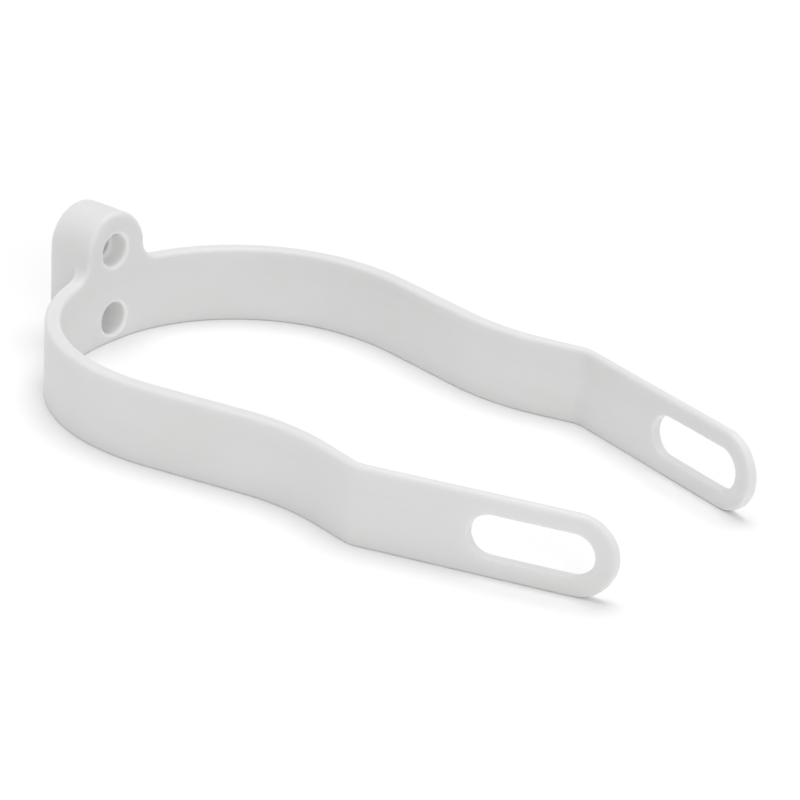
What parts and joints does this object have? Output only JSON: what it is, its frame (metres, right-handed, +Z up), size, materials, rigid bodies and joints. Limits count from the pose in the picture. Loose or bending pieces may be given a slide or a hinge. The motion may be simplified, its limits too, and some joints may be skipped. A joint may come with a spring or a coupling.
{
  "type": "mudguard support bracket",
  "caption": "U-shaped moulded plastic stay for a scooter mudguard, with a bored fixing lug on the bend and slotted ears that toe in.",
  "frame": {"origin": "on the plane of the flat underside, under the middle of the overall length, on the plane of symmetry", "axes": "+X from the lug to the ear tips, +Y to the left arm, +Z up from the flat underside"},
  "size_m": [0.189, 0.1002, 0.0352],
  "materials": {
    "white_plastic": "satin, fine moulded texture"
  },
  "bodies": {
    "root": {"bracket": "white_plastic"}
  },
  "joints": []
}
